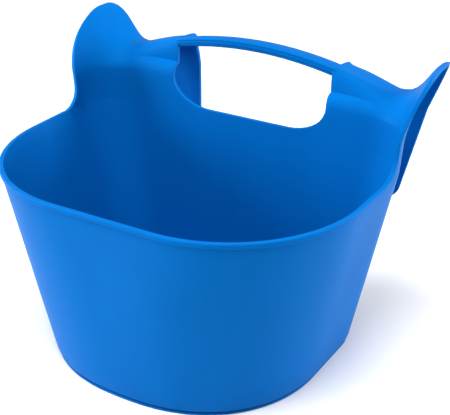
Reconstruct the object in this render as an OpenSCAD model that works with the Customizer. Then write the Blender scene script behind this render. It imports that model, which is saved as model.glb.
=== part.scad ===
// Hook-over feed bucket: a D-shaped tub whose back wall rises into a hook for a gate or stable door.
// X runs side to side, Y from front to back, Z up; the origin is on the floor under the middle.

/* [Tub] */
// Height of the rim above the floor
rim_z = 208; // [170:1:240]
// Width of the rim, side to side
rim_w = 384; // [340:1:400]
// Width of the base, side to side
base_w = 292; // [240:1:320]
// How far the rim reaches forward of the middle
rim_front = 157.8; // [140:0.1:170]
// How far the base reaches forward of the middle
base_front = 137; // [110:1:145]
// Where the back wall stands at the rim, behind the middle
rim_back = 108; // [98:1:112]
// Where the back wall stands at the base, behind the middle
base_back = 102; // [85:1:106]
// Radius of the rim's rear corners
rear_r = 51; // [40:1:60]
// Thickness of the moulded wall
wall_t = 4; // [3:0.5:5]
// Height of the ring that the tub stands on
foot_h = 2; // [1.5:0.5:4]
// Width of the ring that the tub stands on
foot_w = 14; // [8:1:20]
// Depth of the rounded rim bead
lip_h = 5; // [3:0.5:7]
// How far the rim bead stands out from the wall
lip_out = 1.2; // [0:0.1:2]

/* [Riser] */
// Height where the riser starts to bend back into the hook
bend_z = 244; // [236:1:246]
// Width of the riser at that height
neck_w = 390; // [386:1:396]
// Radius of the sweep from the rim up into the riser's front edge
neck_r = 23; // [16:1:24]
// Height of the hand hole's lower edge
hole_z = 214; // [212:1:220]
// Half the width of the hand hole
hole_half = 93; // [80:1:96]
// Corner radius at the bottom of the hand hole
hole_r = 44; // [36:1:46]

/* [Hook] */
// Rear face of the hook's legs, behind the middle
leg_back = 159; // [156:1:162]
// Crest height next to the hand hole
crest_z = 285; // [280:0.5:288]
// Crest height at the lowest point of each saddle
dip_z = 265.5; // [258:0.5:268]
// Height of the ear tips
ear_z = 303; // [295:1:308]
// Width across the ear tips
ear_w = 415; // [411:1:420]
// Depth of the shelf in front of the handle's root
shelf_y = 10.5; // [8:0.5:12]
// Height of that shelf above the start of the bend
shelf_z = 14.5; // [12:0.5:16]
// Height of the legs' lower ends
leg_z = 137; // [125:1:150]
// Half the width across the legs at the bottom of the bend
leg_top_half = 182; // [176:1:186]
// Half the width across the legs' lower ends
leg_low_half = 155; // [148:1:160]

/* [Handle] */
// Depth of the handle bar, front to back
grip_d = 24.5; // [21:0.5:26]
// Thickness of the handle bar
grip_t = 11.5; // [9:0.5:13]
// Rise of the handle bar at mid span
grip_rise = 10.2; // [6:0.1:13]
// Number of grooves along the handle bar
grooves = 3; // [2:1:4]
// Depth of each groove
groove_t = 0.7; // [0.5:0.1:1.2]

/* [Hidden] */

blue = [0.02, 0.44, 0.84];
shade = [0.02, 0.36, 0.68];
floor_t = 5;                    // thickness of the bottom
edge_r = 4.5;                   // rounding where the wall meets the bottom
wall_top = rim_z - lip_h;
front_flat = [5, 54];           // half the flat stretch of the front, at the base and at the rim
front_deep = [133, 140];        // depth of the front corners, at the base and at the rim
front_square = [2.2, 2];        // squareness of the front corners; 2 is an ellipse
base_rear_r = 40;               // radius of the base's rear corners
crest_y = [122, 124, 146.5, 125];   // the crest at the hole, the saddle, the ear's flank and its tip
crest_fall = [4, 2, 0, 0];      // how much the top slopes down to the rear at those places
front_bend = [1.7, 1.7, 1.7, 1.8];  // squareness of the bend in front of the crest at those places
rear_bend = [8, 4.5, 4.5, 4.5];     // and behind it
root_bend = 3.2;                // squareness of the handle's root
root_end = 0.44;                // share of the hook's width where the root has faded out
dip_x = 154;                    // lowest point of the crest
ear_foot = 162;                 // the ear's flank starts this far from the middle
ear_rise = 1.25;                // above 1, the flank climbs later
ear_flare = 3.4;                // how late the ears swing outwards
ear_split = 0.62;               // share of the hook's width that the saddle takes
grip_y = 116;                   // front of the handle bar
grip_slope = 0.18;              // fall of the bar's top towards the rear
corner_steps = 14;
bend_steps = 11;
cut = 400;                      // larger than the bucket, for cutting shapes

function mix(a, b, t) = a + (b - a) * t;
function ease(t) = let (c = min(1, max(0, t))) c * c * (3 - 2 * c);

// ---- plan outline of the tub: flat front, wide front corners, tighter rear corners ----
// size is the height whose outline is meant, in is how far the outline is drawn inwards
function plan(size, in = 0) =
    let (t = size / rim_z,
         over = max(0, size - rim_z) / (bend_z - rim_z),
         low = min(1, t),
         half = mix(mix(base_w, rim_w, low), neck_w, over) / 2 - in,
         front = mix(base_front, rim_front, low) - in,
         back = mix(base_back, rim_back, low) - in,
         flat = mix(front_flat[0], front_flat[1], low),
         deep = mix(front_deep[0], front_deep[1], low) - in,
         power = 2 / mix(front_square[0], front_square[1], low),
         rear = mix(base_rear_r, rear_r, low) - in,
         right = concat(
            [for (i = [0 : corner_steps]) let (a = 90 * i / corner_steps)
                [flat + (half - flat) * pow(sin(a), power), -front + deep * (1 - pow(cos(a), power))]],
            [for (i = [0 : corner_steps]) let (a = 90 * i / corner_steps)
                [half - rear * (1 - cos(a)), back - rear * (1 - sin(a))]]))
    concat(right, [for (i = [len(right) - 1 : -1 : 0]) [-right[i][0], right[i][1]]]);

function level(outline, z) = [for (p = outline) [p[0], p[1], z]];

// closed solid through rows of points; every row is a loop of the same length, and the
// rows themselves close into a ring when ring is true, or get flat ends when it is false
module skin(rows, ring = false) {
    m = len(rows);
    n = len(rows[0]);
    last = ring ? m - 1 : m - 2;
    sides = [for (i = [0 : last], j = [0 : n - 1])
        let (a = i * n + j, b = i * n + (j + 1) % n,
             c = ((i + 1) % m) * n + (j + 1) % n, d = ((i + 1) % m) * n + j)
        each [[a, b, c], [a, c, d]]];
    ends = ring ? [] : [[for (j = [n - 1 : -1 : 0]) j], [for (j = [0 : n - 1]) (m - 1) * n + j]];
    polyhedron(points = [for (r = rows) each r], faces = concat(sides, ends), convexity = 6);
}

// ---- tub ----
module tub_floor() {
    color(shade)
    translate([0, 0, foot_h])
    linear_extrude(floor_t) polygon(plan(foot_h, wall_t + edge_r / 2));
}

module foot_ring() {
    color(shade)
    linear_extrude(foot_h) difference() {
        polygon(plan(0, edge_r));
        polygon(plan(0, edge_r + foot_w));
    }
}

// section of the wall as [height, outline height, inset], outside upwards and then inside downwards
wall_section = concat(
    [for (a = [90 : -30 : 0]) let (z = foot_h + edge_r * (1 - sin(a))) [z, z, edge_r * (1 - cos(a))]],
    [[wall_top, wall_top, 0], [wall_top, wall_top, wall_t], [3 * floor_t, 3 * floor_t, wall_t],
     [foot_h + floor_t, foot_h, wall_t + edge_r / 2], [foot_h, foot_h, wall_t + edge_r / 2]]);
quarter = floor(corner_steps / 2);                   // outline steps from a corner's end to its middle
around = 4 * (corner_steps + 1);                     // points in the whole outline

// one panel of the tub's wall, from outline point i0 to i1
module wall_panel(i0, i1) {
    outlines = [for (r = wall_section) plan(r[1], r[2])];
    color(blue)
    skin([for (i = [i0 : i1]) [for (k = [0 : len(wall_section) - 1])
        let (p = outlines[k][(i + around) % around]) [p[0], p[1], wall_section[k][0]]]]);
}

module wall_front() { wall_panel(-quarter - 1, quarter); }
module wall_right() { wall_panel(quarter, corner_steps + 1 + quarter); }
module wall_back() { wall_panel(corner_steps + 1 + quarter, around - corner_steps - 2 - quarter); }
module wall_left() { wall_panel(around - corner_steps - 2 - quarter, around - 1 - quarter); }

// ---- rim bead from neck to neck round the front ----
neck_y = rim_back - rear_r;  // the riser's front edge stands here
module rim_lip() {
    color(blue)
    difference() {
        skin([for (s = [[wall_t, wall_top], [wall_t, rim_z - 1.5], [wall_t - 1.2, rim_z - 0.2],
                        [0.8, rim_z], [-lip_out, rim_z - 1.6], [-lip_out, rim_z - 3], [0, wall_top]])
              level(plan(rim_z, s[0]), s[1])], ring = true);
        translate([-cut, neck_y - neck_r, 0]) cube([2 * cut, cut, cut]);
    }
}

// ---- riser: the back wall and rear corners carried on above the rim, with the hand hole ----
module neck_cut() {
    sweep_z = rim_z + neck_r;
    translate([-cut, neck_y - neck_r, sweep_z]) rotate([0, 90, 0]) cylinder(2 * cut, r = neck_r, $fn = 96);
    translate([-cut, neck_y - neck_r - cut, 0]) cube([2 * cut, cut, cut]);
    translate([-cut, neck_y - cut, sweep_z]) cube([2 * cut, cut, cut]);
}

module hand_hole() {
    hole_h = bend_z - hole_z;
    translate([0, cut, 0]) rotate([90, 0, 0]) linear_extrude(cut) {
        for (side = [-1, 1]) translate([side * (hole_half - hole_r), bend_z])
            scale([hole_r / hole_h, 1]) circle(hole_h, $fn = 96);
        translate([hole_r - hole_half, hole_z]) square([2 * (hole_half - hole_r), cut]);
        translate([-hole_half, bend_z]) square([2 * hole_half, cut]);
    }
}

// section of the riser as [inset, height], inside upwards and then outside downwards
riser_section = [[wall_t, wall_top], [wall_t, rim_z], [wall_t, bend_z],
                 [0, bend_z], [0, rim_z], [0, wall_top]];

module back_riser() {
    color(shade)
    difference() {
        skin([for (p = riser_section) level(plan(p[1], p[0]), p[1])], ring = true);
        neck_cut();
        hand_hole();
    }
}

// ---- hook: one sheet that bends back over the gate, flat by the hand hole, flared at the ears ----
// u runs from the hand hole, 0, to the outer edge, 1; s from the riser, 0, over the crest, 1, to the leg, 2
corner_x = neck_w / 2 - rear_r;                      // the riser's flat back ends here
corner_in = rear_r - wall_t;                         // radius of the riser's inner face
run_flat = corner_x - hole_half;
run_arc = corner_in * PI / 2;
stops = [0, 0.4, 0.75, 1];                           // u of the hole, the saddle, the flank and the tip

function along(u, v) =
    let (i = u < stops[1] ? 0 : u < stops[2] ? 1 : 2)
    mix(v[i], v[i + 1], ease((u - stops[i]) / (stops[i + 1] - stops[i])));

function shoulder(u) =
    let (run = u * (run_flat + run_arc), a = max(0, run - run_flat) / corner_in * 180 / PI)
    run < run_flat ? [hole_half + run, rim_back - wall_t]
                   : [corner_x + corner_in * sin(a), rim_back - rear_r + corner_in * cos(a)];

function crest_height(x) =
    dip_z + (crest_z - dip_z) * pow(max(0, dip_x - x) / (dip_x - hole_half), 0.9)
    + (ear_z - dip_z) * pow(ease((x - ear_foot) / (ear_w / 2 - ear_foot)), ear_rise);

function crest(u) =
    let (x = shoulder(u)[0] + (ear_w / 2 - neck_w / 2 + wall_t) * pow(u, ear_flare))
    [x, along(u, crest_y), crest_height(x)];

// height and reach of a rounded corner at t, each from 0 to 1
function turn(t, square) = [pow(sin(90 * t), 2 / square), 1 - pow(max(0, cos(90 * t)), 2 / square)];

// the shelf beside the hand hole and the handle's root that rises from it, as [y, z]
function root(s, base_y, top) =
    let (low = turn(s / 0.4, 2.2), high = turn((s - 0.4) / 0.6, root_bend))
    s < 0.4 ? [base_y + shelf_y * low[1], bend_z + shelf_z * low[0]]
            : [mix(base_y + shelf_y, top[1], high[1]), mix(bend_z + shelf_z, top[2], high[0])];

function hook_front(u, s) =
    let (top = crest(u), base = shoulder(u), bend = turn(s, along(u, front_bend)),
         share = pow(max(0, 1 - u / root_end), 0.8),
         plain = [mix(base[1], top[1], bend[1]), mix(bend_z, top[2], bend[0])],
         yz = mix(plain, root(s, base[1], top), share))
    [mix(base[0], top[0], (yz[1] - bend_z) / (top[2] - bend_z)), yz[0], yz[1]];

function hook_rear(u, s) =
    let (top = crest(u), bend = turn(2 - s, along(u, rear_bend)))
    [mix(mix(hole_half, leg_top_half, sqrt(u)), top[0], bend[0]), mix(leg_back, top[1], bend[1]),
     mix(bend_z, top[2] - along(u, crest_fall) * (1 - bend[1]), bend[0])];

function hook(u, s) = s <= 1 ? hook_front(u, s) : hook_rear(u, s);

function across(u, s) =
    let (d = 0.004, u0 = max(0, u - d), u1 = min(1, u + d), s0 = max(0.001, s - d), s1 = min(1.999, s + d),
         n = cross(hook(u1, s) - hook(u0, s), hook(u, s1) - hook(u, s0)))
    n / norm(n);

function under(u, s) =
    let (n = across(u, s), flat = s == 0 || s == 2 ? [n[0], n[1], 0] / norm([n[0], n[1]]) : n)
    hook(u, s) - wall_t * flat;

// thin solid between the hook's top face and its under face, from u0 to u1
module hook_sheet(u0, u1, rows) {
    spots = [for (i = [0 : 4 * bend_steps]) i / (2 * bend_steps)];
    m = len(spots);
    n = 2 * m;
    points = [for (i = [0 : rows]) let (u = mix(u0, u1, i / rows))
        each concat([for (s = spots) hook(u, s)], [for (j = [m - 1 : -1 : 0]) under(u, spots[j])])];
    sides = [for (i = [0 : rows - 1], j = [0 : n - 1])
        let (a = i * n + j, b = i * n + (j + 1) % n, c = b + n, d = a + n) each [[a, b, c], [a, c, d]]];
    caps = [for (j = [0 : m - 2], e = [0, rows * n])
        let (a = e + j, b = e + j + 1, c = e + n - 2 - j, d = e + n - 1 - j)
        each (e == 0 ? [[a, c, b], [a, d, c]] : [[a, b, c], [a, c, d]])];
    polyhedron(points = points, faces = concat(sides, caps), convexity = 6);
}

module saddle() { hook_sheet(0, ear_split, 14); }
module ear() { hook_sheet(ear_split, 1, 12); }
module saddle_right() { color(blue) saddle(); }
module saddle_left() { color(blue) mirror([1, 0, 0]) saddle(); }
module ear_right() { color(blue) ear(); }
module ear_left() { color(blue) mirror([1, 0, 0]) ear(); }

// ---- legs: the ends of the hook that hang behind the gate ----
leg_round = 12;                                      // rounding of the lower corners
module hook_leg() {
    translate([0, leg_back, 0]) rotate([90, 0, 0]) linear_extrude(wall_t) hull() {
        for (x = [hole_half + leg_round, leg_low_half - leg_round * 0.9])
            translate([x, leg_z + leg_round]) circle(leg_round, $fn = 64);
        translate([hole_half, bend_z - 1]) square([leg_top_half - hole_half, 1]);
    }
}
module hook_leg_right() { color(shade) hook_leg(); }
module hook_leg_left() { color(shade) mirror([1, 0, 0]) hook_leg(); }

// ---- handle bar: bridges the hand hole, arched, with grooves along its sloping top ----
grip_steps = 12;
grip_round = 2;                                      // rounding of the bar's lower edges
groove_steps = 12;                                   // points along the grooved top
grip_section = concat(
    [for (a = [180 : 30 : 270]) [grip_round * (1 + cos(a)), grip_round * (1 + sin(a))]],
    [for (a = [270 : 30 : 360]) [grip_d - grip_round * (1 - cos(a)), grip_round * (1 + sin(a))]],
    [for (i = [0 : groove_steps]) let (t = i / groove_steps, y = mix(grip_d - 1, 1, t))
        [y, grip_t - grip_slope * y - groove_t * (1 - cos(360 * grooves * t)) / 2]]);

module carry_handle() {
    color(blue)
    skin([for (i = [0 : grip_steps]) let (x = mix(-hole_half, hole_half, i / grip_steps),
              lift = crest_z + 0.5 - grip_t + grip_rise * (1 - pow(x / hole_half, 2)))
          [for (k = [len(grip_section) - 1 : -1 : 0])
              [x, grip_y + grip_section[k][0], lift + grip_section[k][1]]]]);
}

tub_floor();
foot_ring();
wall_front();
wall_left();
wall_right();
wall_back();
rim_lip();
back_riser();
saddle_left();
saddle_right();
ear_left();
ear_right();
hook_leg_left();
hook_leg_right();
carry_handle();
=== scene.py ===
# Hook-over feed bucket, moulded in one piece from blue polyethylene.
# Everything is in metres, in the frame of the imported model: X to the right, Y to the back, Z up.
import math
import bpy
import bmesh
import numpy as np
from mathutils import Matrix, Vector


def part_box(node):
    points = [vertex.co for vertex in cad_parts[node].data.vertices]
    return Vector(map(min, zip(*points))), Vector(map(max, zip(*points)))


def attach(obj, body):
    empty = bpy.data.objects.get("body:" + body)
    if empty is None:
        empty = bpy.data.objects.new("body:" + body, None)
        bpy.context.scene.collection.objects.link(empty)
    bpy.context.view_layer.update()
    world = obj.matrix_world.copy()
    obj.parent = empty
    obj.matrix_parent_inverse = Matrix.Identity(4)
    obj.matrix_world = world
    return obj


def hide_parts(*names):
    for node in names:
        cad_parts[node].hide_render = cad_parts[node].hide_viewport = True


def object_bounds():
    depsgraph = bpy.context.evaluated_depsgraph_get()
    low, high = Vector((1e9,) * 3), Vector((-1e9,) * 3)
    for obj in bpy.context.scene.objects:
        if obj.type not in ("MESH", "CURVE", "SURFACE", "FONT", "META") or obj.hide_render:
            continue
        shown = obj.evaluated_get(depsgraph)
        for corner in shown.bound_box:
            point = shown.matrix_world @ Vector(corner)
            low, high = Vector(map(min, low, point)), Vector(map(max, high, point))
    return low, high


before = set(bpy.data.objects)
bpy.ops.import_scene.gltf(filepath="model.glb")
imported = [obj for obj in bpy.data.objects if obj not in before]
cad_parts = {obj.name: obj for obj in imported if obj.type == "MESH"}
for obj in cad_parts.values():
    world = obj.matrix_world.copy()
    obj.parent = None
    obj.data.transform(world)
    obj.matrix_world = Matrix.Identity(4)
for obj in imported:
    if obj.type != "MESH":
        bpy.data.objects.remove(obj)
cadBox = [list(corner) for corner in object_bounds()]
print("frame loaded:", len(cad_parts), "CAD nodes")


def low(node):
    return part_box(node)[0]


def high(node):
    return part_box(node)[1]


def mix(a, b, t):
    return a + (b - a) * t


def ease(t):
    c = np.clip(t, 0, 1)
    return c * c * (3 - 2 * c)


lipOut = 0.0012             # the rim lip stands out from the wall by this much
tub = {
    "rimZ": high("rim_lip")[2],
    "rimHalf": high("rim_lip")[0] - lipOut,
    "rimFront": -low("rim_lip")[1] - lipOut,
    "rimBack": high("back_riser")[1],
    "rimFlat": 0.054,       # half the flat stretch of the rim's front
    "rimDeep": 0.140,       # depth of the rim's front corners
    "rimRear": 0.051,       # radius of the rim's rear corners
    "rimSquare": 2.0,       # squareness of the front corners: 2 is an ellipse
    "baseHalf": 0.146,
    "baseFront": 0.137,
    "baseBack": 0.102,
    "baseFlat": 0.005,
    "baseDeep": 0.133,
    "baseRear": 0.040,
    "baseSquare": 2.2,
    "wall": high("hook_leg_right")[1] - low("hook_leg_right")[1],
    "under": 0.6 * high("foot_ring")[2],        # height of the bottom's underside
    "fillet": 0.004,        # inside radius where the wall meets the bottom
    "floorRings": (1, 0.88, 0.6, 0.3),
    "edge": 0.0014,         # rounding of every edge
    "edgeRings": 3,
    "edgeAngle": 55,        # degrees; gentler bends stay as they are
}
riser = {
    "bendZ": high("back_riser")[2],
    "neckHalf": high("back_riser")[0],
    "neckR": 0.023,         # sweep from the rim up into the riser's front edge
    "sweepFrom": 0.55,      # columns beyond this one follow the sweep
    "holeZ": 0.214,
    "holeHalf": low("hook_leg_right")[0],
    "holeR": 0.044,
}
hook = {
    "legBack": high("hook_leg_right")[1],
    "legZ": low("hook_leg_right")[2],
    "legTopHalf": high("hook_leg_right")[0],
    "legLowHalf": 0.155,
    "legRound": 0.012,
    "legSpread": 0.5,       # below 1, the columns behind the gate lie closer to the outer edge
    "legWiden": 0.002,      # the leg's inner edge swings this much either way behind the hand hole
    "widenZ": 0.246,
    "widenRise": 0.024,
    "stops": (0, 0.4, 0.75, 1),     # the hand hole, the saddle, the ear's flank and its tip
    "crestY": (0.122, 0.124, 0.1465, 0.125),
    "fall": (0.004, 0.002, 0.0, 0.0),       # the top slopes down this much towards the rear
    "frontBend": (1.7, 1.7, 1.7, 1.8),      # squareness of the bend: 2 is an ellipse
    "rearBend": (8, 4.5, 4.5, 4.5),
    "crestZ": high("saddle_right")[2],
    "dipX": 0.154,
    "dipZ": 0.2655,
    "riseIn": 0.9,          # how the crest climbs from the dip to the hand hole
    "earFoot": 0.162,       # the ear's flank starts here
    "earRise": 1.25,        # above 1, it climbs later
    "earX": high("ear_right")[0] - 0.0025,
    "earZ": high("ear_right")[2],
    "earLean": 0.03,
    "flare": 3.4,
    "shelfY": 0.0105,       # shelf in front of the handle's root
    "shelfZ": 0.0145,
    "shelfShare": 0.4,      # share of the climb up to the shelf
    "shelfBend": 2.2,
    "rootBend": 3.2,
    "rootEnd": 0.44,        # the root has faded out at this share of the width
    "rootFade": 0.8,
    "holeEdge": 6,          # the crest keeps to the leg's inner edge over one part in this many
    "turnLength": 0.012,    # a radian of bend earns as many points as this length
}
steps = {"flat": 4, "corner": 22, "side": 6, "rear": 14, "back": 5, "hole": 9, "arc": 9, "neck": 8,
         "bend": 20, "leg": 12, "legEnd": 6, "wall": 12, "fillet": 4, "fine": 160,
         "lipSide": 12, "lipCorner": 60, "lipFlat": 8, "foot": 40}
aroundPlaces = 10           # places on the tub's outline, from front middle round to front middle


# Point of the tub's outline; place runs 0 to 5 from front middle to back middle, up to 10 on the left.
def outline(place, z, inset):
    place = place % aroundPlaces
    side = 1
    if place > aroundPlaces / 2:
        place = aroundPlaces - place
        side = -1
    share = min(1, z / tub["rimZ"])
    over = max(0, z - tub["rimZ"]) / (riser["bendZ"] - tub["rimZ"])
    half = mix(mix(tub["baseHalf"], tub["rimHalf"], share), riser["neckHalf"], over) - inset
    front = mix(tub["baseFront"], tub["rimFront"], share) - inset
    back = mix(tub["baseBack"], tub["rimBack"], share) - inset
    flat = mix(tub["baseFlat"], tub["rimFlat"], share)
    deep = mix(tub["baseDeep"], tub["rimDeep"], share) - inset
    rear = mix(tub["baseRear"], tub["rimRear"], share) - inset
    power = 2 / mix(tub["baseSquare"], tub["rimSquare"], share)
    stretch = min(4, int(place))
    t = place - stretch
    a = t * math.pi / 2
    if stretch == 0:        # front
        x, y = flat * t, -front
    elif stretch == 1:      # front corner
        x = flat + (half - flat) * math.sin(a) ** power
        y = -front + deep * (1 - math.cos(a) ** power)
    elif stretch == 2:      # side
        x, y = half, mix(-front + deep, back - rear, t)
    elif stretch == 3:      # rear corner
        x, y = half - rear * (1 - math.cos(a)), back - rear * (1 - math.sin(a))
    else:                   # back
        x, y = (half - rear) * (1 - t), back
    return side * x, y


cornerX = riser["neckHalf"] - tub["rimRear"]
holeFlat = riser["holeHalf"] - riser["holeR"]
runFlat = cornerX - riser["holeHalf"]
runArc = (tub["rimRear"] - tub["wall"]) * math.pi / 2
sideLength = tub["rimBack"] - tub["rimRear"] - (tub["rimDeep"] - tub["rimFront"])


# Place on the outline of hook column u: 0 at the hand hole, 1 at the riser's front edge.
def shoulderPlace(u):
    run = u * (runFlat + runArc)
    if run < runFlat:
        return 4 + (runFlat - run) / cornerX
    return 4 - (run - runFlat) / runArc


# The same column lower down, where the riser's front edge sweeps forward into the rim.
def columnPlace(u, z):
    drop = max(0, tub["rimZ"] + riser["neckR"] - z)
    sweep = riser["neckR"] - math.sqrt(max(0, riser["neckR"] ** 2 - drop ** 2))
    follow = float(ease((u - riser["sweepFrom"]) / (1 - riser["sweepFrom"])))
    return shoulderPlace(u) - sweep / sideLength * follow


# Blends the values given at the hook's stops.
def along(u, values):
    stops = hook["stops"]
    i = 0 if u < stops[1] else 1 if u < stops[2] else 2
    return mix(values[i], values[i + 1], float(ease((u - stops[i]) / (stops[i + 1] - stops[i]))))


def crestHeight(x):
    inner = max(0, hook["dipX"] - x) / (hook["dipX"] - riser["holeHalf"])
    rise = float(ease((x - hook["earFoot"]) / (hook["earX"] - hook["earFoot"]))) ** hook["earRise"]
    return (hook["dipZ"] + (hook["crestZ"] - hook["dipZ"]) * inner ** hook["riseIn"]
            + (hook["earZ"] - hook["dipZ"]) * rise)


# Height and reach of a rounded corner, each from 0 to 1.
def quarter(t, square):
    a = math.pi / 2 * t
    return math.sin(a) ** (2 / square), 1 - max(0, math.cos(a)) ** (2 / square)


# Half the width between the two legs.
def innerEdge(z):
    swing = 2 * float(ease((z - hook["widenZ"]) / hook["widenRise"])) - 1
    return riser["holeHalf"] + hook["legWiden"] * swing


# Point of the hook; s is 0 at the shoulder, 1 at the crest and 2 at the top of the leg.
def hookPoint(u, s):
    bendZ = riser["bendZ"]
    shoulderX, shoulderY = outline(shoulderPlace(u), bendZ, tub["wall"])
    topX = shoulderX + (hook["earX"] - riser["neckHalf"] + tub["wall"]) * u ** hook["flare"]
    topY = along(u, hook["crestY"])
    topZ = crestHeight(topX)
    if s <= 1:
        up, over = quarter(s, along(u, hook["frontBend"]))
        y, z = mix(shoulderY, topY, over), mix(bendZ, topZ, up)
        shelfY, shelfZ = shoulderY + hook["shelfY"], bendZ + hook["shelfZ"]
        share = hook["shelfShare"]
        if s < share:
            up, over = quarter(s / share, hook["shelfBend"])
            rootY, rootZ = mix(shoulderY, shelfY, over), mix(bendZ, shelfZ, up)
        else:
            up, over = quarter((s - share) / (1 - share), hook["rootBend"])
            rootY, rootZ = mix(shelfY, topY, over), mix(shelfZ, topZ, up)
        root = max(0, 1 - u / hook["rootEnd"]) ** hook["rootFade"]
        y, z = mix(y, rootY, root), mix(z, rootZ, root)
        climbed = (z - bendZ) / (topZ - bendZ)
        return mix(shoulderX, topX, climbed ** (1 + hook["earLean"] * u)), y, z
    up, over = quarter(2 - s, along(u, hook["rearBend"]))
    z = mix(bendZ, topZ - along(u, hook["fall"]) * (1 - over), up)
    legX = mix(innerEdge(z), hook["legTopHalf"], u ** hook["legSpread"])
    topX = mix(topX, innerEdge(z), max(0, 1 - u * hook["holeEdge"]))
    return mix(legX, topX, up), mix(hook["legBack"], topY, over), z


# Points of one hook column, closer together where it bends more.
def hookColumn(u, count):
    column = []
    for start in (0, 1):
        fine = np.array([hookPoint(u, start + i / steps["fine"]) for i in range(steps["fine"] + 1)])
        move = np.diff(fine, axis=0)
        length = np.linalg.norm(move, axis=1)
        turn = np.zeros(len(length))
        cosine = np.sum(move[1:] * move[:-1], axis=1) / (length[1:] * length[:-1] + 1e-12)
        turn[1:] = np.arccos(np.clip(cosine, -1, 1))
        travel = np.concatenate([[0], np.cumsum(length + hook["turnLength"] * turn)])
        spots = np.linspace(0, travel[-1], count + 1)[start:]
        column += [tuple(np.interp(t, travel, fine[:, k]) for k in range(3)) for t in spots]
    return column


def legPoint(u, z):
    rise = (z - hook["legZ"]) / (riser["bendZ"] - hook["legZ"])
    below = max(0, hook["legZ"] + hook["legRound"] - z)
    corner = hook["legRound"] - math.sqrt(max(0, hook["legRound"] ** 2 - below ** 2))
    inner = innerEdge(z) + corner
    outer = mix(hook["legLowHalf"], hook["legTopHalf"], rise) - corner
    return mix(inner, outer, u ** hook["legSpread"]), hook["legBack"], z


# The whole moulding as a single sheet, which is its upper or inner face.
def sheetGrid():
    verts, faces, seen = [], [], {}

    def vert(p):
        key = tuple(round(c, 6) for c in p)
        if key not in seen:
            seen[key] = len(verts)
            verts.append(p)
        return seen[key]

    def grid(rows, flip=False):
        ids = [[vert(p) for p in row] for row in rows]
        for i in range(len(ids) - 1):
            for j in range(len(ids[0]) - 1):
                face = [ids[i][j], ids[i][j + 1], ids[i + 1][j + 1], ids[i + 1][j]]
                face = [v for k, v in enumerate(face) if v != face[k - 1]]
                if len(face) > 2:
                    faces.append(face[::-1] if flip else face)

    wall, rimZ, bendZ = tub["wall"], tub["rimZ"], riser["bendZ"]
    columns = steps["rear"] + steps["back"]
    us = [i / columns for i in range(columns + 1)]
    neckTurns = [math.pi / 2 * i / steps["neck"] for i in range(steps["neck"] + 1)]
    neckZ = [rimZ + riser["neckR"] * (1 - math.cos(a)) for a in neckTurns]
    neckZ += [mix(neckZ[-1], bendZ, 0.5), bendZ]
    turns = [math.pi / 2 * i / steps["arc"] for i in range(steps["arc"] + 1)]
    holeX = [holeFlat * i / steps["hole"] for i in range(steps["hole"])]
    holeX += [holeFlat + riser["holeR"] * math.sin(a) for a in turns]
    holeTop = [riser["holeZ"]] * steps["hole"]
    holeTop += [mix(bendZ, riser["holeZ"], math.cos(a)) for a in turns]
    lowZ = hook["legZ"] + hook["legRound"]
    legZ = [mix(bendZ, lowZ, i / steps["leg"]) for i in range(steps["leg"] + 1)]
    legTurns = [math.pi / 2 * (i + 1) / steps["legEnd"] for i in range(steps["legEnd"])]
    legZ += [hook["legZ"] + hook["legRound"] * (1 - math.sin(a)) for a in legTurns]

    for side in (1, -1):
        def riserPoint(place, z):
            x, y = outline(place, z, wall)
            return side * x, y, z

        def mirrored(points):
            return [(side * p[0], p[1], p[2]) for p in points]

        # riser beside the hole, up to the shoulder
        grid([[riserPoint(columnPlace(u, z), z) for u in us] for z in neckZ], side > 0)
        # riser under the hole
        rows = []
        for z in neckZ:
            share = (z - rimZ) / (bendZ - rimZ)
            rows.append([riserPoint(5 - x / cornerX, mix(rimZ, top, share))
                         for x, top in zip(holeX, holeTop)])
        grid(rows, side < 0)
        # bend over the gate, then the leg
        grid(list(zip(*[mirrored(hookColumn(u, steps["bend"])) for u in us])), side > 0)
        grid([mirrored(legPoint(u, z) for u in us) for z in legZ], side > 0)

    # tub: columns of the riser carried down, and the front of the outline between the necks
    rimPlaces = [5 - x / cornerX for x in holeX[:-1]] + [columnPlace(u, rimZ) for u in us]
    neckPlace = rimPlaces[-1]
    rimPlaces += [mix(neckPlace, 2, i / steps["side"]) for i in range(1, steps["side"] + 1)]
    rimPlaces += [2 - i / steps["corner"] for i in range(1, steps["corner"] + 1)]
    rimPlaces += [1 - i / steps["flat"] for i in range(1, steps["flat"] + 1)]
    ring = rimPlaces + [aroundPlaces - p for p in rimPlaces[-2:0:-1]] + [rimPlaces[0]]
    floorZ = tub["under"] + wall
    rows = []
    for i in range(steps["wall"] + 1):
        z = mix(rimZ, floorZ + tub["fillet"], i / steps["wall"])
        rows.append([(*outline(p, z, wall), z) for p in ring])
    for i in range(1, steps["fillet"] + 1):
        a = math.pi / 2 * i / steps["fillet"]
        z = floorZ + tub["fillet"] * (1 - math.sin(a))
        rows.append([(*outline(p, z, wall + tub["fillet"] * (1 - math.cos(a))), z) for p in ring])
    grid(rows)
    edge = rows[-1]
    middleY = (edge[0][1] + edge[len(edge) // 2][1]) / 2
    rings = [[(p[0] * k, mix(middleY, p[1], k), floorZ) for p in edge] for k in tub["floorRings"]]
    grid(rings)
    hub = vert((0, middleY, floorZ))
    inner = [vert(p) for p in rings[-1]]
    faces.extend([a, b, hub] for a, b in zip(inner[:-1], inner[1:]))
    return verts, faces


def makeMesh(name, verts=(), edges=(), faces=()):
    mesh = bpy.data.meshes.new(name)
    mesh.from_pydata(verts, edges, faces)
    mesh.validate()
    obj = bpy.data.objects.new(name, mesh)
    bpy.context.collection.objects.link(obj)
    return obj


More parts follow.
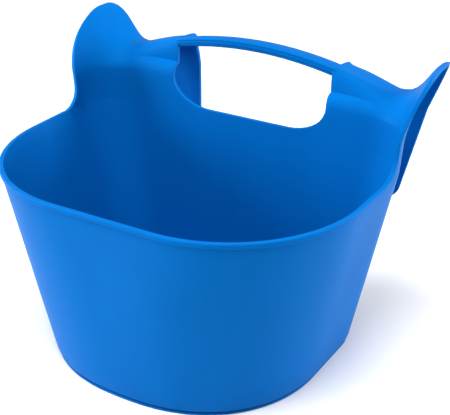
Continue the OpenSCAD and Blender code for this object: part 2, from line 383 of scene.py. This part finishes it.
# Turns an object with modifiers into one with a plain, smooth mesh.
def bake(obj):
    bpy.context.view_layer.update()
    graph = bpy.context.evaluated_depsgraph_get()
    mesh = bpy.data.meshes.new_from_object(obj.evaluated_get(graph))
    old = obj.data
    obj.modifiers.clear()
    obj.data = mesh
    mesh.name = obj.name
    bpy.data.meshes.remove(old)
    for face in mesh.polygons:
        face.use_smooth = True
    return obj


sheetVerts, sheetFaces = sheetGrid()
shell = makeMesh("moulding", sheetVerts, faces=sheetFaces)
work = bmesh.new()
work.from_mesh(shell.data)
bmesh.ops.recalc_face_normals(work, faces=work.faces)
floorFace = min(work.faces, key=lambda f: f.calc_center_median().length)
if floorFace.normal.z < 0:
    bmesh.ops.reverse_faces(work, faces=work.faces)
work.to_mesh(shell.data)
work.free()
solid = shell.modifiers.new("wall", "SOLIDIFY")
solid.thickness = tub["wall"]
solid.offset = -1
solid.use_even_offset = True
bevel = shell.modifiers.new("edge", "BEVEL")
bevel.width = tub["edge"]
bevel.segments = tub["edgeRings"]
bevel.limit_method = "ANGLE"
bevel.angle_limit = math.radians(tub["edgeAngle"])
bake(shell)
print("moulding:", len(shell.data.polygons), "faces")


# A node's output, so that node maths can be written as an expression.
class Wire:
    def __init__(self, tree, socket):
        self.tree, self.socket = tree, socket

    def __add__(self, other):
        return maths("ADD", self, other)

    def __radd__(self, other):
        return maths("ADD", other, self)

    def __sub__(self, other):
        return maths("SUBTRACT", self, other)

    def __rsub__(self, other):
        return maths("SUBTRACT", other, self)

    def __mul__(self, other):
        return maths("MULTIPLY", self, other)

    def __rmul__(self, other):
        return maths("MULTIPLY", other, self)

    def __truediv__(self, other):
        return maths("DIVIDE", self, other)

    def __rtruediv__(self, other):
        return maths("DIVIDE", other, self)

    def __pow__(self, other):
        return maths("POWER", self, other)


def maths(operation, *values):
    tree = next(v.tree for v in values if isinstance(v, Wire))
    return addNode(tree, "ShaderNodeMath", {"operation": operation},
                   **{"in" + str(i): v for i, v in enumerate(values)})


# Adds a node; its inputs are named by their label, or as in0, in1 and so on.
def addNode(tree, kind, settings=None, output=0, **values):
    node = tree.nodes.new(kind)
    for name, value in (settings or {}).items():
        setattr(node, name, value)
    for name, value in values.items():
        numbered = name[:2] == "in" and name[2:].isdigit()
        socket = node.inputs[int(name[2:]) if numbered else name.replace("_", " ")]
        if isinstance(value, Wire):
            tree.links.new(value.socket, socket)
        else:
            socket.default_value = value
    return Wire(tree, node.outputs[output])


# A node tree with a geometry input and one named number for each size.
def geometryTree(name, sizes):
    tree = bpy.data.node_groups.new(name, "GeometryNodeTree")
    tree.interface.new_socket("Geometry", in_out="INPUT", socket_type="NodeSocketGeometry")
    for label, value in sizes.items():
        kind = "NodeSocketInt" if isinstance(value, int) else "NodeSocketFloat"
        tree.interface.new_socket(label, in_out="INPUT", socket_type=kind)
    tree.interface.new_socket("Geometry", in_out="OUTPUT", socket_type="NodeSocketGeometry")
    entry = tree.nodes.new("NodeGroupInput")
    return tree, {socket.name: Wire(tree, socket) for socket in entry.outputs if socket.name}


def closeTree(tree, geometry, material):
    real = addNode(tree, "GeometryNodeRealizeInstances", in0=geometry)
    done = addNode(tree, "GeometryNodeSetMaterial", Geometry=real, Material=material)
    tree.links.new(done.socket, tree.nodes.new("NodeGroupOutput").inputs[0])


# Runs a tree on an object and leaves a closed mesh with its faces outwards.
def runTree(obj, tree, sizes):
    modifier = obj.modifiers.new(tree.name, "NODES")
    modifier.node_group = tree
    for item in tree.interface.items_tree:
        if item.in_out == "INPUT" and item.name in sizes:
            modifier[item.identifier] = sizes[item.name]
    bake(obj)
    mend = bmesh.new()
    mend.from_mesh(obj.data)
    gaps = [edge for edge in mend.edges if edge.is_boundary]
    bmesh.ops.holes_fill(mend, edges=gaps, sides=4)     # the handle has one by each of its poles
    bmesh.ops.recalc_face_normals(mend, faces=mend.faces)
    openEdges = sum(1 for edge in mend.edges if not edge.is_manifold)
    mend.to_mesh(obj.data)
    mend.free()
    print(obj.name + ":", len(obj.data.polygons), "faces,", openEdges, "open edges")
    return obj


plastic = {
    "colour": (0.0006, 0.112, 0.400, 1),
    "deep": (0.0004, 0.096, 0.350, 1),      # where the colour pools a little darker
    "deepShare": 0.5,
    "scuffed": (0.002, 0.150, 0.50, 1),     # rubbed high spots
    "scuffShare": 0.4,
    "roughness": 0.42,
    "specular": 0.03,
    "tint": (0.10, 0.55, 1.0, 1),
    "flowSize": 14.0,       # pattern sizes are repeats per metre
    "flowStretch": (1, 1, 0.35),
    "rubSize": 45.0,
    "scratchSize": 420.0,
    "scratchStretch": (1, 1, 0.06),
    "grainSize": 900,
    "grainHeight": 0.05,
    "scratchHeight": 0.03,
    "flowHeight": 0.25,
    "bump": 0.35,
    "bumpReach": 0.0012,
    "line": (0.0002, 0.050, 0.200, 1),      # painted shade darkening the grooves bumped into the handle, which lie apart from its cut grooves
    "lines": 3,
    "lineDepth": 1.0,
    "lineShade": 0.6,
}


# Moulded polyethylene: fine spark-eroded grain, faint flow marks and rubbed patches; optionally, painted
# shade along grooves bumped into the handle.
def bluePlastic(name, lined=False):
    material = bpy.data.materials.new(name)
    material.use_nodes = True
    tree = material.node_tree
    tree.nodes.clear()
    place = addNode(tree, "ShaderNodeTexCoord", output=3)

    def noise(at, size, detail, roughness):
        return addNode(tree, "ShaderNodeTexNoise", Vector=at, Scale=size, Detail=detail, Roughness=roughness)

    def stretched(scale):
        return addNode(tree, "ShaderNodeMapping", {"vector_type": "POINT"}, Vector=place, Scale=scale)

    def above(value, start, end):
        return addNode(tree, "ShaderNodeMapRange", {"interpolation_type": "SMOOTHSTEP"},
                       Value=value, From_Min=start, From_Max=end)

    def blend(share, first, second):
        return addNode(tree, "ShaderNodeMix", {"data_type": "RGBA"}, 2, in0=share, in6=first, in7=second)

    flow = noise(stretched(plastic["flowStretch"]), plastic["flowSize"], 3.0, 0.5)
    cloud = noise(place, plastic["rubSize"], 4.0, 0.6)
    grain = noise(place, plastic["grainSize"], 2.0, 0.6)
    scratch = noise(stretched(plastic["scratchStretch"]), plastic["scratchSize"], 2.0, 0.5)
    rubbed = above(cloud, 0.58, 0.78)
    wear = rubbed * 0.35 + above(scratch, 0.66, 0.8) * 0.3
    base = blend(above(flow, 0.35, 0.7) * plastic["deepShare"], plastic["colour"], plastic["deep"])
    colour = blend(wear * plastic["scuffShare"], base, plastic["scuffed"])
    roughness = plastic["roughness"] + flow * 0.05 + rubbed * 0.06 + grain * 0.03
    height = grain * plastic["grainHeight"] + scratch * plastic["scratchHeight"]
    height = height + flow * plastic["flowHeight"]
    # grooves bumped into the handle, each darkened with painted shade
    if lined:
        girth = addNode(tree, "ShaderNodeAttribute", {"attribute_name": "girthPlace"}, 2)
        line = maths("MAXIMUM", maths("COSINE", girth * (2 * math.pi * plastic["lines"])), 0.0) ** 3
        height = height - line * plastic["lineDepth"]
        # painted shade: the colour goes darker inside each bumped groove
        colour = blend(line * plastic["lineShade"], colour, plastic["line"])
    bump = addNode(tree, "ShaderNodeBump",
                   Height=height, Strength=plastic["bump"], Distance=plastic["bumpReach"])
    bsdf = addNode(tree, "ShaderNodeBsdfPrincipled", Base_Color=colour, Roughness=roughness, Normal=bump,
                   Specular_IOR_Level=plastic["specular"], Specular_Tint=plastic["tint"])
    output = tree.nodes.new("ShaderNodeOutputMaterial")
    tree.links.new(bsdf.socket, output.inputs["Surface"])
    return material


blue = bluePlastic("bluePolyethylene")
shell.data.materials.append(blue)
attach(shell, "root")
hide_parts("tub_floor", "wall_front", "wall_left", "wall_right", "wall_back", "back_riser",
            "saddle_left", "saddle_right", "ear_left", "ear_right", "hook_leg_left", "hook_leg_right")

handle = {
    "Front": low("carry_handle")[1],
    "Depth": high("carry_handle")[1] - low("carry_handle")[1],
    "Thickness": 0.0115,
    "End top": high("saddle_right")[2] + 0.0005,
    "Rise": 0.0102,
    "Slope": 0.18,          # fall of the top towards the rear
    "Squareness": 4.5,
    "Groove depth": 0.0014,
    "Grooves": 3.0,
    "Groove spacing": 1.3,  # above 1, the grooves keep away from the edges
    "Half span": high("carry_handle")[0],
    "Reach": 0.014,         # each end runs on this far inside its saddle
    "Sink": 0.008,
    "End rounding": 24.0,
    "Sections": 160,
    "Sides": 96,
}


# A grooved bar along an arch, its ends sunk in the saddles.
def handleTree(material):
    tree, size = geometryTree("handleBar", handle)
    grid = addNode(tree, "GeometryNodeMeshGrid", Size_X=1.0, Size_Y=1.0,
                   Vertices_X=size["Sections"], Vertices_Y=size["Sides"])
    place = addNode(tree, "GeometryNodeInputPosition")
    lengthwise = addNode(tree, "ShaderNodeSeparateXYZ", in0=place)
    around = Wire(tree, lengthwise.socket.node.outputs["Y"])
    x = lengthwise * 2 * (size["Half span"] + size["Reach"])
    girth = maths("SQRT", 1 - maths("ABSOLUTE", lengthwise * 2) ** size["End rounding"])
    turn = around * (2 * math.pi)
    c, s = maths("COSINE", turn), maths("SINE", turn)
    power = 2 / size["Squareness"]
    dy = maths("SIGN", c) * maths("ABSOLUTE", c) ** power * size["Depth"] * 0.5 * girth
    dz = maths("SIGN", s) * maths("ABSOLUTE", s) ** power * size["Thickness"] * 0.5 * girth
    pitch = dy / size["Depth"] * size["Grooves"] * size["Groove spacing"]
    wave = maths("COSINE", (pitch + (size["Grooves"] - 1) * 0.5) * (2 * math.pi))
    grooved = maths("LESS_THAN", maths("ABSOLUTE", pitch), size["Grooves"] * 0.5)
    top = maths("GREATER_THAN", s, 0.0)
    dz = dz - maths("MAXIMUM", wave, 0.0) ** 2 * grooved * top * size["Groove depth"] * girth
    dz = dz - (dy + size["Depth"] * 0.5) * size["Slope"] * (dz / size["Thickness"] + 0.5)
    share = maths("ABSOLUTE", x) / size["Half span"]
    arch = size["Rise"] * maths("MAXIMUM", 1 - share ** 2, 0.0)
    past = maths("MAXIMUM", share - 1, 0.0) * size["Half span"] / size["Reach"]
    z = size["End top"] - size["Thickness"] * 0.5 + arch - size["Sink"] * past ** 1.2 + dz
    y = size["Front"] + size["Depth"] * 0.5 + dy
    spot = addNode(tree, "ShaderNodeCombineXYZ", X=x, Y=y, Z=z)
    girthPlace = dz / size["Thickness"] - dy / size["Depth"]      # 0 at the lower front edge, 1 above it
    marked = addNode(tree, "GeometryNodeStoreNamedAttribute", {"data_type": "FLOAT", "domain": "POINT"},
                     Geometry=grid, Name="girthPlace", Value=girthPlace)
    moved = addNode(tree, "GeometryNodeSetPosition", Geometry=marked, Position=spot)
    merged = addNode(tree, "GeometryNodeMergeByDistance", Geometry=moved, Distance=0.00002)
    closeTree(tree, merged, material)
    return tree


bar = runTree(makeMesh("carryHandle"), handleTree(bluePlastic("groovedPolyethylene", True)), handle)
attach(bar, "root")
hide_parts("carry_handle")

band = {
    "lip": {"Width": 0.0042, "Height": high("rim_lip")[2] - low("rim_lip")[2],
            "Corner": 0.0014, "Rounding": 5},
    "foot": {"Width": 0.014, "Height": 0.0026, "Corner": 0.0006, "Rounding": 5},
    "footIn": 0.0008,       # the foot ring lies this far inside the base's outline
}


# A rounded band swept along a path.
def bandTree(name, material):
    tree, size = geometryTree(name, band["lip"])
    curve = addNode(tree, "GeometryNodeMeshToCurve", Mesh=size["Geometry"])
    upright = addNode(tree, "GeometryNodeSetCurveNormal", {"mode": "Z_UP"}, Curve=curve)
    section = addNode(tree, "GeometryNodeCurvePrimitiveQuadrilateral",
                      Width=size["Width"], Height=size["Height"])
    rounded = addNode(tree, "GeometryNodeFilletCurve", {"mode": "POLY"},
                      Curve=section, Count=size["Rounding"], Radius=size["Corner"])
    swept = addNode(tree, "GeometryNodeCurveToMesh", Curve=upright, Profile_Curve=rounded, Fill_Caps=True)
    merged = addNode(tree, "GeometryNodeMergeByDistance", Geometry=swept, Distance=0.00002)
    closeTree(tree, merged, material)
    return tree


# The middle line of a band at height z, as edges along the outline at height tubZ.
def bandPath(name, places, tubZ, z, inset, closed):
    points = [(*outline(p, tubZ, inset), z) for p in places]
    edges = [(i, i + 1) for i in range(len(points) - 1)]
    if closed:
        edges.append((len(points) - 1, 0))
    return makeMesh(name, points, edges)


bandNodes = bandTree("outlineBand", blue)
neckPlace = columnPlace(1, tub["rimZ"])
lipPlaces = [mix(neckPlace, 2, i / steps["lipSide"]) for i in range(steps["lipSide"])]
lipPlaces += [2 - i / steps["lipCorner"] for i in range(steps["lipCorner"] + 1)]
lipPlaces += [1 - i / steps["lipFlat"] for i in range(1, steps["lipFlat"] + 1)]
lipPlaces += [aroundPlaces - p for p in lipPlaces[-2::-1]]
lipZ = tub["rimZ"] - band["lip"]["Height"] / 2
lip = bandPath("rimLip", lipPlaces, lipZ, lipZ, band["lip"]["Width"] / 2 - lipOut, False)
footPlaces = [i / steps["foot"] for i in range(aroundPlaces * steps["foot"])]
footInset = band["foot"]["Width"] / 2 + band["footIn"]
foot = bandPath("footRing", footPlaces, 0, band["foot"]["Height"] / 2, footInset, True)
for piece, node, sizes in ((lip, "rim_lip", band["lip"]), (foot, "foot_ring", band["foot"])):
    runTree(piece, bandNodes, sizes)
    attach(piece, "root")
    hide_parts(node)

stage = {
    "floorSize": 6.0,
    "floorColour": (0.86, 0.86, 0.86, 1),
    "floorRoughness": 0.9,
    "azimuth": 31.1,
    "elevation": 26.4,
    "distance": 1.1327,
    "aim": (0.0134, 0.0381, 0.1397),
    "lens": 86.54,
    "sensor": 36,
    "worldLight": 0.42,
    "exposure": 0.2,
    "lightAim": (0, 0, 0.15),
    "lights": (             # name, place, size, watts
        ("leftBox", (-1.8, -0.9, 0.6), (0.6, 0.9), 42),
        ("rightBox", (1.5, 1.3, 0.6), (0.6, 0.9), 34),
        ("topBox", (0.1, -0.5, 1.8), (1.0, 1.0), 36),
    ),
}
bpy.ops.mesh.primitive_plane_add(size=stage["floorSize"], location=(0, 0, cadBox[0][2]))
floor = bpy.context.object
floor.name = "studioFloor"
pale = bpy.data.materials.new("paleFloor")
pale.use_nodes = True
paint = pale.node_tree.nodes["Principled BSDF"]
paint.inputs["Base Color"].default_value = stage["floorColour"]
paint.inputs["Roughness"].default_value = stage["floorRoughness"]
floor.data.materials.append(pale)

camera = bpy.data.objects.new("camera", bpy.data.cameras.new("camera"))
bpy.context.collection.objects.link(camera)
azimuth, elevation = math.radians(stage["azimuth"]), math.radians(stage["elevation"])
level = math.cos(elevation)
away = Vector((math.sin(azimuth) * level, -math.cos(azimuth) * level, math.sin(elevation)))
camera.location = Vector(stage["aim"]) + away * stage["distance"]
camera.rotation_euler = (math.pi / 2 - elevation, 0, azimuth)
camera.data.lens = stage["lens"]
camera.data.sensor_width = stage["sensor"]
bpy.context.scene.camera = camera


def softbox(name, place, size, watts):
    light = bpy.data.objects.new(name, bpy.data.lights.new(name, "AREA"))
    light.data.shape = "RECTANGLE"
    light.data.size, light.data.size_y = size
    light.data.energy = watts
    light.location = place
    light.rotation_euler = (Vector(stage["lightAim"]) - Vector(place)).to_track_quat("-Z", "Y").to_euler()
    bpy.context.collection.objects.link(light)


for light in stage["lights"]:
    softbox(*light)
world = bpy.data.worlds.new("studio")
world.use_nodes = True
sky = world.node_tree.nodes["Background"]
sky.inputs["Color"].default_value = (1, 1, 1, 1)
sky.inputs["Strength"].default_value = stage["worldLight"]
bpy.context.scene.world = world
bpy.context.scene.view_settings.view_transform = "Standard"
bpy.context.scene.view_settings.exposure = stage["exposure"]
print("stage:", len(stage["lights"]), "lights")
